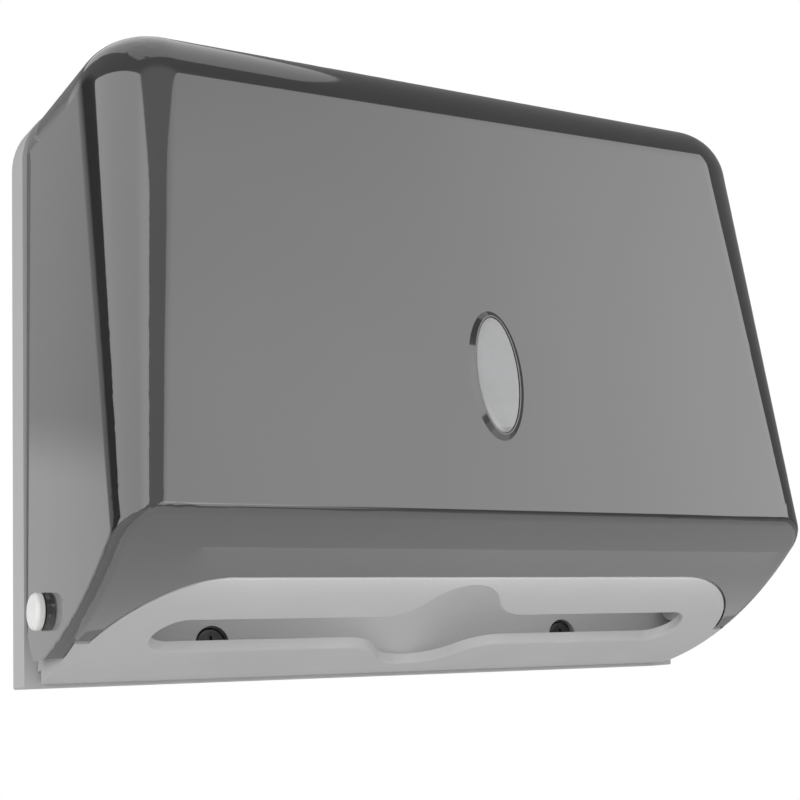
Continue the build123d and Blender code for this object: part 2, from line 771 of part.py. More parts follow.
low_screw, high_screw = keeper_screw_heights()
pieces = {
    "back_plate": make_back_plate(),
    "towel_tray": make_towel_tray(),
    "tray_screw_left": make_tray_screw(-well_spacing / 2),
    "tray_screw_right": make_tray_screw(well_spacing / 2),
    "front_cover": make_front_cover(),
    "sight_window": make_sight_window(),
    "left_hinge_pin": make_hinge_pin(-1),
    "right_hinge_pin": make_hinge_pin(1),
    "lock_housing": make_lock_housing(),
    "lock_barrel": make_lock_barrel(),
    "lock_washer": make_lock_washer(),
    "lock_nut": make_lock_nut(),
    "lock_cam": make_lock_cam(),
    "lock_cam_screw": make_lock_cam_screw(),
    "lock_keeper": make_lock_keeper(),
    "keeper_screw_lower": make_keeper_screw(low_screw),
    "keeper_screw_upper": make_keeper_screw(high_screw),
}
for name, piece in pieces.items():
    export_step(Pos(0, 0, -origin_height) * piece, f"parts/{name}.step")
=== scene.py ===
import bpy
import bmesh
import json
from math import cos, pi, radians, sin
from mathutils import Matrix, Vector
from mathutils.bvhtree import BVHTree
from mathutils.interpolate import poly_3d_calc


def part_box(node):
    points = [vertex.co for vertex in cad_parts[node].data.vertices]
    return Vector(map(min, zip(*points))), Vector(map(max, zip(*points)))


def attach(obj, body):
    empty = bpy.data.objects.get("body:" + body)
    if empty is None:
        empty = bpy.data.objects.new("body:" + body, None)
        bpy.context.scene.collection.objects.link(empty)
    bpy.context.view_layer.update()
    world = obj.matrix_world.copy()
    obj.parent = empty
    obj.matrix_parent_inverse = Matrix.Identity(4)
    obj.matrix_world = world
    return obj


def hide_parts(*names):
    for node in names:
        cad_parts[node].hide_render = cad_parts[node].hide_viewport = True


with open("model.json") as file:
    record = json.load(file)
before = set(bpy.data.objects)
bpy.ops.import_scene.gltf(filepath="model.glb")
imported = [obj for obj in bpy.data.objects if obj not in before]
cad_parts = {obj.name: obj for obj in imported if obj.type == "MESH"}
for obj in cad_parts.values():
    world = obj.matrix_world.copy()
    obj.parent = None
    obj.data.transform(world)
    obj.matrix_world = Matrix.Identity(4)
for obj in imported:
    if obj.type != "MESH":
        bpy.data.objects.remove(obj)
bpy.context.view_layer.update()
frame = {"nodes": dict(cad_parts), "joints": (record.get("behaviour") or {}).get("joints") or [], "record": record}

nodes = frame["nodes"]
slotOfNode = {row["node"]: row["material_slot"] for row in frame["record"]["subparts"]}
bodyOfNode = {}
for bodyName, members in frame["record"]["behaviour"]["bodies"].items():
    for member in members:
        bodyOfNode[member] = bodyName
jointPlace = {joint["name"]: Vector(joint["pos_m"]) for joint in frame["joints"]}
jointAxis = {joint["name"]: Vector(joint["axis"]) for joint in frame["joints"]}
bpy.ops.object.select_all(action="DESELECT")
print("stage: frame loaded")

# Camera, at the photograph's angle.
cameraValues = {
    "place": (-0.2908909, -0.5187596, -0.1141113),
    "turn": (101.30097, 2.92036, -30.29678),
    "lens": 70.614,
    "sensor": 36.0,
    "reach": (0.01, 60),
}


def addCamera(values):
    bpy.ops.object.camera_add(location=values["place"], rotation=[radians(a) for a in values["turn"]])
    camera = bpy.context.object
    camera.name = "photoCamera"
    camera.data.lens = values["lens"]
    camera.data.sensor_width = values["sensor"]
    camera.data.clip_start, camera.data.clip_end = values["reach"]
    bpy.context.scene.camera = camera


addCamera(cameraValues)
print("stage: camera")

# Softboxes light the front from both sides of the camera, one hangs over the top, and a low one
# shines up at the underside. A small one inside stands for the daylight let in by the smoke cover.
lampValues = {
    "rightBox": {"place": (0.74, -1.28, 0.63), "aim": (-0.34, -0.31, 0.27), "size": (1.5, 1.0), "watts": 2.35,
                 "spread": 100},
    "leftBox": {"place": (-1.22, -0.55, 0.34), "aim": (-0.1, -0.05, 0.0), "size": (2.1, 1.3), "watts": 12.0,
                "spread": 180},
    "topBox": {"place": (-0.02, 0.5, 1.35), "aim": (-0.02, 0.5, 0.0), "size": (1.2, 2.2), "watts": 4.4,
               "spread": 180},
    "lowBox": {"place": (0.24, -0.40, -0.40), "aim": (0.24, -0.40, 0.0), "size": (1.1, 1.1), "watts": 1.4,
               "spread": 180},
    "insideBox": {"place": (0.01, -0.084, -0.03), "aim": (0.01, 0.0, -0.045), "size": (0.23, 0.09), "watts": 0.11,
                  "spread": 180},
}


def addLamp(name, values):
    away = Vector(values["place"]) - Vector(values["aim"])
    turn = away.to_track_quat("Z", "Y").to_euler()
    bpy.ops.object.light_add(type="AREA", location=values["place"], rotation=turn)
    lamp = bpy.context.object
    lamp.name = name
    lamp.data.shape = "RECTANGLE"
    lamp.data.size, lamp.data.size_y = values["size"]
    lamp.data.energy = values["watts"]
    lamp.data.spread = radians(values["spread"])
    lamp.visible_camera = False


for lampName, values in lampValues.items():
    addLamp(lampName, values)

# The world is white to the camera. In gloss it is a dim studio with soft pale sheets and one
# dark gap, each a patch about a direction, from the cosine where it starts to where it is whole.
worldValues = {
    "fill": 0.45,
    "studio": 0.19,
    "patches": [
        {"towards": (-0.34, 0.92, 0.06), "edge": (0.86, 0.93), "level": 0.31},
        {"towards": (-0.25, 0.90, -0.35), "edge": (0.845, 0.87), "level": 0.26},
        {"towards": (-0.10, -1.00, 0.25), "edge": (0.75, 0.90), "level": 0.28},
        {"towards": (-0.766, 0.643, 0.20), "edge": (0.86, 0.95), "level": -0.18},
        {"towards": (0.25, -0.96, 0.02), "edge": (0.955, 0.985), "level": 1.1},
    ],
}


def addWorld(values):
    world = bpy.data.worlds.new("studio")
    bpy.context.scene.world = world
    world.use_nodes = True
    tree = world.node_tree
    tree.nodes.clear()
    out = tree.nodes.new("ShaderNodeOutputWorld")
    path = tree.nodes.new("ShaderNodeLightPath")
    place = tree.nodes.new("ShaderNodeTexCoord")
    total = None
    for patch in values["patches"]:
        towards = tree.nodes.new("ShaderNodeVectorMath")
        towards.operation = "DOT_PRODUCT"
        towards.inputs[1].default_value = Vector(patch["towards"]).normalized()
        tree.links.new(place.outputs["Generated"], towards.inputs[0])
        edge = tree.nodes.new("ShaderNodeMapRange")
        edge.interpolation_type = "SMOOTHSTEP"
        edge.inputs["From Min"].default_value, edge.inputs["From Max"].default_value = patch["edge"]
        edge.inputs["To Max"].default_value = patch["level"]
        tree.links.new(towards.outputs["Value"], edge.inputs["Value"])
        adding = tree.nodes.new("ShaderNodeMath")
        adding.inputs[0].default_value = values["studio"]
        if total:
            tree.links.new(total, adding.inputs[0])
        tree.links.new(edge.outputs["Result"], adding.inputs[1])
        total = adding.outputs[0]

    def background(strength):
        node = tree.nodes.new("ShaderNodeBackground")
        node.inputs["Color"].default_value = (1, 1, 1, 1)
        node.inputs["Strength"].default_value = strength
        return node

    def mix(factor, first, second):
        node = tree.nodes.new("ShaderNodeMixShader")
        tree.links.new(factor, node.inputs[0])
        tree.links.new(first, node.inputs[1])
        tree.links.new(second, node.inputs[2])
        return node.outputs[0]

    gloss = background(1.0)
    tree.links.new(total, gloss.inputs["Strength"])
    lit = mix(path.outputs["Is Glossy Ray"], background(values["fill"]).outputs[0], gloss.outputs[0])
    seen = mix(path.outputs["Is Camera Ray"], lit, background(1.0).outputs[0])
    tree.links.new(seen, out.inputs[0])


addWorld(worldValues)
print("stage: lamps and world")


# The floor is pale, keeps the shadow, and grows into the white of the background at its rim.
floorValues = {
    "height": -0.42,
    "size": 5.0,
    "colour": (0.72, 0.72, 0.72),
    "roughness": 0.85,
    "fade": (0.7, 2.3),
    "speckScale": 60.0,
    "speckStrength": 0.1,
    "speckHeight": 0.001,
}


def addFloor(values):
    bpy.ops.mesh.primitive_plane_add(size=values["size"], location=(0, 0, values["height"]))
    floor = bpy.context.object
    floor.name = "floor"
    material = bpy.data.materials.new("paleFloor")
    material.use_nodes = True
    tree = material.node_tree
    shader = tree.nodes["Principled BSDF"]
    shader.inputs["Roughness"].default_value = values["roughness"]
    shader.inputs["Base Color"].default_value = (*values["colour"], 1)
    place = tree.nodes.new("ShaderNodeTexCoord")
    specks = tree.nodes.new("ShaderNodeTexNoise")
    specks.inputs["Scale"].default_value = values["speckScale"]
    tree.links.new(place.outputs["Object"], specks.inputs["Vector"])
    bump = tree.nodes.new("ShaderNodeBump")
    bump.inputs["Strength"].default_value = values["speckStrength"]
    bump.inputs["Distance"].default_value = values["speckHeight"]
    tree.links.new(specks.outputs["Fac"], bump.inputs["Height"])
    tree.links.new(bump.outputs["Normal"], shader.inputs["Normal"])
    away = tree.nodes.new("ShaderNodeVectorMath")
    away.operation = "LENGTH"
    tree.links.new(place.outputs["Object"], away.inputs[0])
    fade = tree.nodes.new("ShaderNodeMapRange")
    fade.interpolation_type = "SMOOTHSTEP"
    fade.inputs["From Min"].default_value, fade.inputs["From Max"].default_value = values["fade"]
    tree.links.new(away.outputs["Value"], fade.inputs["Value"])
    path = tree.nodes.new("ShaderNodeLightPath")
    share = tree.nodes.new("ShaderNodeMath")
    share.operation = "MULTIPLY"
    tree.links.new(fade.outputs["Result"], share.inputs[0])
    tree.links.new(path.outputs["Is Camera Ray"], share.inputs[1])
    white = tree.nodes.new("ShaderNodeEmission")
    mixed = tree.nodes.new("ShaderNodeMixShader")
    tree.links.new(share.outputs[0], mixed.inputs[0])
    tree.links.new(shader.outputs[0], mixed.inputs[1])
    tree.links.new(white.outputs[0], mixed.inputs[2])
    tree.links.new(mixed.outputs[0], tree.nodes["Material Output"].inputs["Surface"])
    floor.data.materials.append(material)


addFloor(floorValues)
print("stage: floor")


# Small helpers for the materials. A bump is given as a field, its strength and its height.
def newMaterial(name, baseColour, roughness, metallic=0.0):
    material = bpy.data.materials.new(name)
    material.use_nodes = True
    shader = material.node_tree.nodes["Principled BSDF"]
    shader.inputs["Base Color"].default_value = (*baseColour, 1)
    shader.inputs["Roughness"].default_value = roughness
    shader.inputs["Metallic"].default_value = metallic
    return material, material.node_tree, shader


def noiseField(tree, scale, detail=3.0, stretch=(1, 1, 1)):
    place = tree.nodes.new("ShaderNodeTexCoord")
    mapping = tree.nodes.new("ShaderNodeMapping")
    mapping.inputs["Scale"].default_value = stretch
    noise = tree.nodes.new("ShaderNodeTexNoise")
    noise.inputs["Scale"].default_value = scale
    noise.inputs["Detail"].default_value = detail
    tree.links.new(place.outputs["Object"], mapping.inputs["Vector"])
    tree.links.new(mapping.outputs["Vector"], noise.inputs["Vector"])
    return noise.outputs["Fac"]


def spread(tree, field, low, high, fromLow=0.3, fromHigh=0.7):
    node = tree.nodes.new("ShaderNodeMapRange")
    node.inputs["From Min"].default_value = fromLow
    node.inputs["From Max"].default_value = fromHigh
    node.inputs["To Min"].default_value = low
    node.inputs["To Max"].default_value = high
    tree.links.new(field, node.inputs["Value"])
    return node.outputs["Result"]


def blendColours(tree, field, first, second):
    ramp = tree.nodes.new("ShaderNodeValToRGB")
    ramp.color_ramp.elements[0].position = 0.3
    ramp.color_ramp.elements[0].color = (*first, 1)
    ramp.color_ramp.elements[1].position = 0.7
    ramp.color_ramp.elements[1].color = (*second, 1)
    tree.links.new(field, ramp.inputs["Fac"])
    return ramp.outputs["Color"]


def addBump(tree, shader, fields):
    last = None
    for field, strength, distance in fields:
        bump = tree.nodes.new("ShaderNodeBump")
        bump.inputs["Strength"].default_value = strength
        bump.inputs["Distance"].default_value = distance
        tree.links.new(field, bump.inputs["Height"])
        if last:
            tree.links.new(last, bump.inputs["Normal"])
        last = bump.outputs["Normal"]
    tree.links.new(last, shader.inputs["Normal"])


def addMilkiness(shader, milkiness):
    weight, depth = milkiness
    shader.inputs["Subsurface Weight"].default_value = weight
    shader.inputs["Subsurface Scale"].default_value = depth


smokeValues = {
    "dark": (0.028, 0.028, 0.029),
    "pale": (0.036, 0.036, 0.037),
    "cloudScale": 14.0,
    "streakScale": 220.0,
    "streakStretch": (0.05, 1.0, 1.0),
    "grainScale": 1400.0,
    "gloss": (0.055, 0.085),
    "waveBump": (0.25, 0.00002),
    "streakBump": (0.05, 0.00001),
    "grainBump": (0.03, 0.00001),
    "coat": 1.0,
    "coatRoughness": 0.035,
    "bodyIndex": 1.6,
    "coatIndex": 1.7,
}


def smokePlastic(values):
    material, tree, shader = newMaterial("smokePlastic", values["dark"], 0.07)
    clouds = noiseField(tree, values["cloudScale"], 2.0)
    streaks = noiseField(tree, values["streakScale"], 4.0, values["streakStretch"])
    grain = noiseField(tree, values["grainScale"], 2.0)
    tree.links.new(blendColours(tree, clouds, values["dark"], values["pale"]), shader.inputs["Base Color"])
    tree.links.new(spread(tree, streaks, *values["gloss"]), shader.inputs["Roughness"])
    shader.inputs["IOR"].default_value = values["bodyIndex"]
    shader.inputs["Coat Weight"].default_value = values["coat"]
    shader.inputs["Coat Roughness"].default_value = values["coatRoughness"]
    shader.inputs["Coat IOR"].default_value = values["coatIndex"]
    bumps = [(clouds, *values["waveBump"]), (streaks, *values["streakBump"]), (grain, *values["grainBump"])]
    addBump(tree, shader, bumps)
    return material


greyValues = {
    "dark": (0.455, 0.455, 0.455),
    "pale": (0.485, 0.485, 0.485),
    "cloudScale": 22.0,
    "grainScale": 2600.0,
    "roughness": (0.36, 0.46),
    "cloudBump": (0.15, 0.00003),
    "grainBump": (0.12, 0.00002),
}


def greyPlastic(values):
    material, tree, shader = newMaterial("greyPlastic", values["dark"], 0.4)
    clouds = noiseField(tree, values["cloudScale"], 3.0)
    grain = noiseField(tree, values["grainScale"], 2.0)
    tree.links.new(blendColours(tree, clouds, values["dark"], values["pale"]), shader.inputs["Base Color"])
    tree.links.new(spread(tree, grain, *values["roughness"]), shader.inputs["Roughness"])
    addBump(tree, shader, [(clouds, *values["cloudBump"]), (grain, *values["grainBump"])])
    return material


lensValues = {
    "dark": (0.36, 0.365, 0.37),
    "pale": (0.40, 0.405, 0.41),
    "cloudScale": 90.0,
    "frostScale": 3200.0,
    "roughness": (0.10, 0.16),
    "milkiness": (0.25, 0.002),
    "coat": (0.5, 0.05),
    "cloudBump": (0.2, 0.00003),
    "frostBump": (0.08, 0.00001),
}


def frostedPlastic(values):
    material, tree, shader = newMaterial("frostedPlastic", values["dark"], 0.12)
    clouds = noiseField(tree, values["cloudScale"], 3.0)
    frost = noiseField(tree, values["frostScale"], 2.0)
    tree.links.new(blendColours(tree, clouds, values["dark"], values["pale"]), shader.inputs["Base Color"])
    tree.links.new(spread(tree, frost, *values["roughness"]), shader.inputs["Roughness"])
    addMilkiness(shader, values["milkiness"])
    shader.inputs["Coat Weight"].default_value, shader.inputs["Coat Roughness"].default_value = values["coat"]
    addBump(tree, shader, [(clouds, *values["cloudBump"]), (frost, *values["frostBump"])])
    return material


whiteValues = {
    "dark": (0.80, 0.80, 0.79),
    "pale": (0.86, 0.86, 0.85),
    "cloudScale": 160.0,
    "grainScale": 3000.0,
    "roughness": (0.24, 0.34),
    "milkiness": (0.1, 0.001),
    "grainBump": (0.1, 0.00001),
}


def whitePlastic(values):
    material, tree, shader = newMaterial("whitePlastic", values["dark"], 0.3)
    clouds = noiseField(tree, values["cloudScale"], 3.0)
    grain = noiseField(tree, values["grainScale"], 2.0)
    tree.links.new(blendColours(tree, clouds, values["dark"], values["pale"]), shader.inputs["Base Color"])
    tree.links.new(spread(tree, grain, *values["roughness"]), shader.inputs["Roughness"])
    addMilkiness(shader, values["milkiness"])
    addBump(tree, shader, [(grain, *values["grainBump"])])
    return material


metalValues = {
    "nickelPlate": {
        "dark": (0.58, 0.56, 0.53), "pale": (0.66, 0.65, 0.62),
        "roughness": (0.16, 0.26), "lineStretch": (1.0, 1.0, 1.0), "lineScale": 900.0, "cloudScale": 320.0,
        "lineBump": (0.3, 0.000006),
    },
    "zincPlate": {
        "dark": (0.50, 0.51, 0.52), "pale": (0.64, 0.65, 0.66),
        "roughness": (0.28, 0.42), "lineStretch": (1.0, 0.08, 1.0), "lineScale": 1600.0, "cloudScale": 320.0,
        "lineBump": (0.3, 0.000012),
    },
    # The black-oxide finish is partly real and partly painted shade: the screws are made this dark so that the
    # shallow wells they sit in look as dark as deep shade.
    "blackOxideWellShade": {
        "dark": (0.055, 0.055, 0.057), "pale": (0.085, 0.085, 0.088),
        "roughness": (0.38, 0.52), "lineStretch": (1.0, 1.0, 1.0), "lineScale": 1800.0, "cloudScale": 320.0,
        "lineBump": (0.3, 0.00001),
    },
}


def platedMetal(name, values):
    material, tree, shader = newMaterial(name, values["pale"], 0.3, metallic=1.0)
    clouds = noiseField(tree, values["cloudScale"], 3.0)
    lines = noiseField(tree, values["lineScale"], 3.0, values["lineStretch"])
    tree.links.new(blendColours(tree, clouds, values["dark"], values["pale"]), shader.inputs["Base Color"])
    tree.links.new(spread(tree, lines, *values["roughness"]), shader.inputs["Roughness"])
    addBump(tree, shader, [(lines, *values["lineBump"])])
    return material


finishes = {
    "light_grey_plastic": greyPlastic(greyValues),
    "smoke_grey_plastic": smokePlastic(smokeValues),
    "frosted_lens": frostedPlastic(lensValues),
    "white_plastic": whitePlastic(whiteValues),
    "nickel_plate": platedMetal("nickelPlate", metalValues["nickelPlate"]),
    "plated_steel": platedMetal("zincPlate", metalValues["zincPlate"]),
    "black_steel": platedMetal("blackOxideWellShade", metalValues["blackOxideWellShade"]),
}
for nodeName, node in nodes.items():
    node.data.materials.clear()
    node.data.materials.append(finishes[slotOfNode[nodeName]])
print("stage: materials")


# Helpers for the modelling. A piece is shaped about its own axis, then set in its place.
def makeActive(piece):
    bpy.ops.object.select_all(action="DESELECT")
    piece.select_set(True)
    bpy.context.view_layer.objects.active = piece


def useModifier(piece, kind, **settings):
    makeActive(piece)
    modifier = piece.modifiers.new(kind.lower(), kind)
    for setting, value in settings.items():
        setattr(modifier, setting, value)
    bpy.ops.object.modifier_apply(modifier=modifier.name)


def cutWith(piece, cutter, operation="DIFFERENCE"):
    useModifier(piece, "BOOLEAN", object=cutter, operation=operation, solver="EXACT")
    bpy.data.objects.remove(cutter)


def finishEdges(piece, width, segments=2, angle=30):
    useModifier(piece, "BEVEL", width=width, segments=segments, limit_method="ANGLE", angle_limit=radians(angle))
    makeActive(piece)
    bpy.ops.object.shade_smooth_by_angle(angle=radians(angle))
    useModifier(piece, "WEIGHTED_NORMAL", keep_sharp=True)


def setInPlace(piece, origin, outward):
    up = Vector(outward).normalized()
    across = Vector((1, 0, 0)) if abs(up.x) < 0.5 else Vector((0, 1, 0))
    turn = Matrix((across, up.cross(across), up)).transposed().to_4x4()
    piece.matrix_world = Matrix.Translation(origin) @ turn
    makeActive(piece)
    bpy.ops.object.transform_apply(location=True, rotation=True, scale=True)


def dress(piece, nodeName):
    piece.data.materials.clear()
    piece.data.materials.append(finishes[slotOfNode[nodeName]])
    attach(piece, bodyOfNode[nodeName])
    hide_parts(nodeName)


def pickFaces(piece, wanted):
    bpy.ops.mesh.select_mode(type="FACE")
    bpy.ops.mesh.select_all(action="DESELECT")
    shape = bmesh.from_edit_mesh(piece.data)
    for face in shape.faces:
        if wanted(face):
            face.select_set(True)
    shape.select_flush_mode()
    bmesh.update_edit_mesh(piece.data)


# A corner is drawn out along the profile, given as radius and height, and spun about the axis.
def turnOnLathe(name, profile, steps=64):
    bpy.ops.object.select_all(action="DESELECT")
    bpy.ops.mesh.primitive_plane_add(size=0.001)
    piece = bpy.context.object
    piece.name = name
    bpy.ops.object.mode_set(mode="EDIT")
    bpy.ops.mesh.select_mode(type="VERT")
    bpy.ops.mesh.select_all(action="SELECT")
    bpy.ops.mesh.merge(type="CENTER")
    bpy.ops.transform.translate(value=(profile[0][0], 0, profile[0][1]))
    for start, end in zip(profile, profile[1:]):
        step = (end[0] - start[0], 0, end[1] - start[1])
        bpy.ops.mesh.extrude_region_move(TRANSFORM_OT_translate={"value": step})
    bpy.ops.mesh.select_all(action="SELECT")
    bpy.ops.mesh.spin(steps=steps, angle=2 * pi, center=(0, 0, 0), axis=(0, 0, 1))
    bpy.ops.mesh.select_all(action="SELECT")
    bpy.ops.mesh.remove_doubles(threshold=0.000002)
    bpy.ops.mesh.normals_make_consistent(inside=False)
    bpy.ops.object.mode_set(mode="OBJECT")
    return piece


def roundTurn(centreRadius, centreHeight, radius, startAngle, endAngle, count):
    points = []
    for index in range(count + 1):
        angle = radians(startAngle + (endAngle - startAngle) * index / count)
        points.append((centreRadius + radius * cos(angle), centreHeight + radius * sin(angle)))
    return points


def threadProfile(radius, depth, start, end, pitch):
    points = []
    turns = int(abs(end - start) / pitch)
    for index in range(turns):
        top = start - index * pitch
        points += [(radius, top), (radius, top - pitch * 0.2), (radius - depth, top - pitch * 0.6)]
    return points + [(radius, end)]


def boxCutter(size, place, taper=1.0):
    bpy.ops.object.select_all(action="DESELECT")
    bpy.ops.mesh.primitive_cube_add(size=1, location=place)
    cutter = bpy.context.object
    cutter.scale = size
    bpy.ops.object.transform_apply(location=False, rotation=False, scale=True)
    bpy.ops.object.mode_set(mode="EDIT")
    pickFaces(cutter, lambda face: face.normal.z < -0.9)
    bpy.ops.transform.resize(value=(taper, taper, 1))
    bpy.ops.object.mode_set(mode="OBJECT")
    return cutter


# The mouldings keep their CAD shape. Their sharp edges are broken as a mould breaks them.
mouldValues = {
    "front_cover": {"name": "coverShell", "edge": 0.00025},
    "towel_tray": {"name": "trayMoulding", "edge": 0.0003},
    "back_plate": {"name": "wallPlate", "edge": 0.0004},
    "lock_cam": {"name": "lockArm", "edge": 0.0002},
    "lock_keeper": {"name": "keeperBracket", "edge": 0.0003},
}
softenValues = {"distance": 0.000001, "flatAngle": 0.1, "edgeAngle": 27}


def softenNode(nodeName, values):
    source = nodes[nodeName]
    piece = source.copy()
    piece.data = source.data.copy()
    piece.name = values["name"]
    for key in list(piece.keys()):
        del piece[key]
    piece.parent = None
    bpy.context.collection.objects.link(piece)
    makeActive(piece)
    bpy.ops.object.mode_set(mode="EDIT")
    bpy.ops.mesh.select_all(action="SELECT")
    bpy.ops.mesh.remove_doubles(threshold=softenValues["distance"])
    bpy.ops.mesh.dissolve_limited(angle_limit=radians(softenValues["flatAngle"]))
    bpy.ops.object.mode_set(mode="OBJECT")
    if piece.data.has_custom_normals:
        bpy.ops.mesh.customdata_custom_splitnormals_clear()
    finishEdges(piece, values["edge"], angle=softenValues["edgeAngle"])
    dress(piece, nodeName)
    return piece


mouldings = {nodeName: softenNode(nodeName, values) for nodeName, values in mouldValues.items()}
print("stage: mouldings")

# A smooth guide of the cover's outside lends the cover its shading, so that reflections run clean
# round its corners. Each level is half the width at the back and the front, the front's distance
# from the wall, the corner's tangent length and the height. The guide is deleted at the end.
guideValues = {
    "levels": [
        {"rear": 0.134676, "front": 0.133332, "depth": 0.104910, "tangent": 0.008856, "height": -0.1},
        {"rear": 0.133491, "front": 0.132384, "depth": 0.084232, "tangent": 0.027173, "height": 0.1155},
    ],
    "behindWall": 0.012,
    "cornerSteps": 32,
    "top": {"place": (0, -0.0124, 0.103), "outward": (0, 0.061865, 0.998085), "rounding": 0.0207, "steps": 24},
    "lowest": -0.046,
    "near": 0.0003,
    "widestTurn": 0.35,
    "backMargin": 0.0001,
}


def addLevel(values, behindWall, steps):
    bpy.ops.object.select_all(action="DESELECT")
    bpy.ops.mesh.primitive_plane_add(size=2)
    level = bpy.context.object
    bpy.ops.object.mode_set(mode="EDIT")
    bpy.ops.mesh.select_mode(type="VERT")
    bpy.ops.mesh.select_all(action="DESELECT")
    shape = bmesh.from_edit_mesh(level.data)
    for corner in shape.verts:
        isFront = corner.co.y < 0
        halfWidth = values["front"] if isFront else values["rear"]
        side = 1 if corner.co.x > 0 else -1
        corner.co = (side * halfWidth, -values["depth"] if isFront else behindWall, values["height"])
        corner.select_set(isFront)
    bmesh.update_edit_mesh(level.data)
    bpy.ops.mesh.bevel(affect="VERTICES", offset=values["tangent"], segments=steps, profile=0.5)
    bpy.ops.mesh.select_all(action="SELECT")
    bpy.ops.mesh.delete(type="ONLY_FACE")
    bpy.ops.object.mode_set(mode="OBJECT")
    return level


def addGuide(values):
    levels = [addLevel(level, values["behindWall"], values["cornerSteps"]) for level in values["levels"]]
    for level in levels:
        level.select_set(True)
    bpy.context.view_layer.objects.active = levels[0]
    bpy.ops.object.join()
    guide = bpy.context.object
    top = values["top"]
    bpy.ops.object.mode_set(mode="EDIT")
    bpy.ops.mesh.select_mode(type="EDGE")
    bpy.ops.mesh.select_all(action="SELECT")
    bpy.ops.mesh.bridge_edge_loops()
    bpy.ops.mesh.select_all(action="SELECT")
    bpy.ops.mesh.bisect(plane_co=top["place"], plane_no=top["outward"], clear_outer=True, use_fill=True)
    bpy.ops.mesh.select_all(action="SELECT")
    bpy.ops.mesh.normals_make_consistent(inside=False)
    bpy.ops.mesh.select_mode(type="EDGE")
    bpy.ops.mesh.select_all(action="DESELECT")
    shape = bmesh.from_edit_mesh(guide.data)
    shape.normal_update()
    lid = max(shape.faces, key=lambda face: face.normal.z)
    for edge in lid.edges:
        middle = (edge.verts[0].co + edge.verts[1].co) / 2
        edge.select_set(middle.y < values["behindWall"] - values["backMargin"])
    bmesh.update_edit_mesh(guide.data)
    bpy.ops.mesh.bevel(offset=top["rounding"], segments=top["steps"], profile=0.5, clamp_overlap=False)
    bpy.ops.object.mode_set(mode="OBJECT")
    bpy.ops.object.shade_smooth()
    useModifier(guide, "WEIGHTED_NORMAL")
    useModifier(guide, "TRIANGULATE", keep_custom_normals=True)
    return guide


def lendShading(piece, guide, values):
    shape = guide.data
    corners = [Vector(corner.vector) for corner in shape.corner_normals]
    tree = BVHTree.FromPolygons([v.co for v in shape.vertices], [list(p.vertices) for p in shape.polygons])
    mesh = piece.data
    normals = [Vector(corner.vector) for corner in mesh.corner_normals]
    changed = 0
    for face in mesh.polygons:
        if face.center.z < values["lowest"]:
            continue
        found = [tree.find_nearest(mesh.vertices[v].co, values["near"]) for v in face.vertices]
        if any(place is None for place, facing, index, away in found):
            continue
        if max(facing.angle(face.normal) for place, facing, index, away in found) > values["widestTurn"]:
            continue
        for loop, (place, facing, index, away) in zip(face.loop_indices, found):
            triangle = shape.polygons[index]
            shares = poly_3d_calc([shape.vertices[v].co for v in triangle.vertices], place)
            lent = Vector()
            for share, corner in zip(shares, triangle.loop_indices):
                lent += share * corners[corner]
            normals[loop] = lent.normalized()
            changed += 1
    mesh.normals_split_custom_set(normals)
    bpy.data.objects.remove(guide)
    print("corners with lent shading:", changed)


lendShading(mouldings["front_cover"], addGuide(guideValues), guideValues)
print("stage: cover shading")

# The sight window: an oval plug with a flat middle, a sloping margin and a flange behind the wall.
windowValues = {
    "centre": (0, -0.0958137, -0.0052),
    "lean": 5.481,
    "halfWidth": 0.00815,
    "halfHeight": 0.02025,
    "marginHeight": 0.00108,
    "marginWidth": 0.0019,
    "marginSlope": 0.00036,
    "wall": 0.0025,
    "flangeHalfWidth": 0.0113,
    "flangeHalfHeight": 0.0234,
    "flangeThickness": 0.0012,
    "edge": 0.00035,
    "edgeAngle": 8,
}


def addSightWindow(values):
    bpy.ops.object.select_all(action="DESELECT")
    depth = values["marginHeight"] + values["wall"]
    bpy.ops.mesh.primitive_cylinder_add(vertices=128, radius=1, depth=depth,
                                        location=(0, 0, values["marginHeight"] - depth / 2))
    piece = bpy.context.object
    piece.name = "sightLens"
    piece.scale = (values["halfWidth"], values["halfHeight"], 1)
    bpy.ops.object.transform_apply(location=True, rotation=True, scale=True)
    bpy.ops.object.mode_set(mode="EDIT")
    pickFaces(piece, lambda face: face.normal.z > 0.9)
    bpy.ops.mesh.inset(thickness=values["marginWidth"], depth=values["marginSlope"])
    pickFaces(piece, lambda face: face.normal.z < -0.9)
    bpy.ops.mesh.extrude_region_move(TRANSFORM_OT_translate={"value": (0, 0, 0)})
    bpy.ops.transform.resize(value=(values["flangeHalfWidth"] / values["halfWidth"],
                                    values["flangeHalfHeight"] / values["halfHeight"], 1))
    bpy.ops.mesh.extrude_region_move(TRANSFORM_OT_translate={"value": (0, 0, -values["flangeThickness"])})
    bpy.ops.mesh.select_all(action="SELECT")
    bpy.ops.mesh.normals_make_consistent(inside=False)
    bpy.ops.object.mode_set(mode="OBJECT")
    finishEdges(piece, values["edge"], segments=4, angle=values["edgeAngle"])
    lean = radians(values["lean"])
    setInPlace(piece, values["centre"], (0, -cos(lean), sin(lean)))
    dress(piece, "sight_window")


addSightWindow(windowValues)
print("stage: sight window")

# The two hinge pins: a domed cap, a plain shank and a split barbed tip.
pinValues = {
    "capRadius": 0.006, "capHeight": 0.003, "capRounding": 0.0016, "capFoot": 0.0003,
    "radius": 0.003, "neck": 0.0004, "tipLength": 0.003, "barb": 0.0005, "barbStep": 0.0003,
    "slitWidth": 0.0012, "slitLength": 0.009, "slitDepth": 0.02, "slitShift": 0.0005, "edge": 0.00015,
}


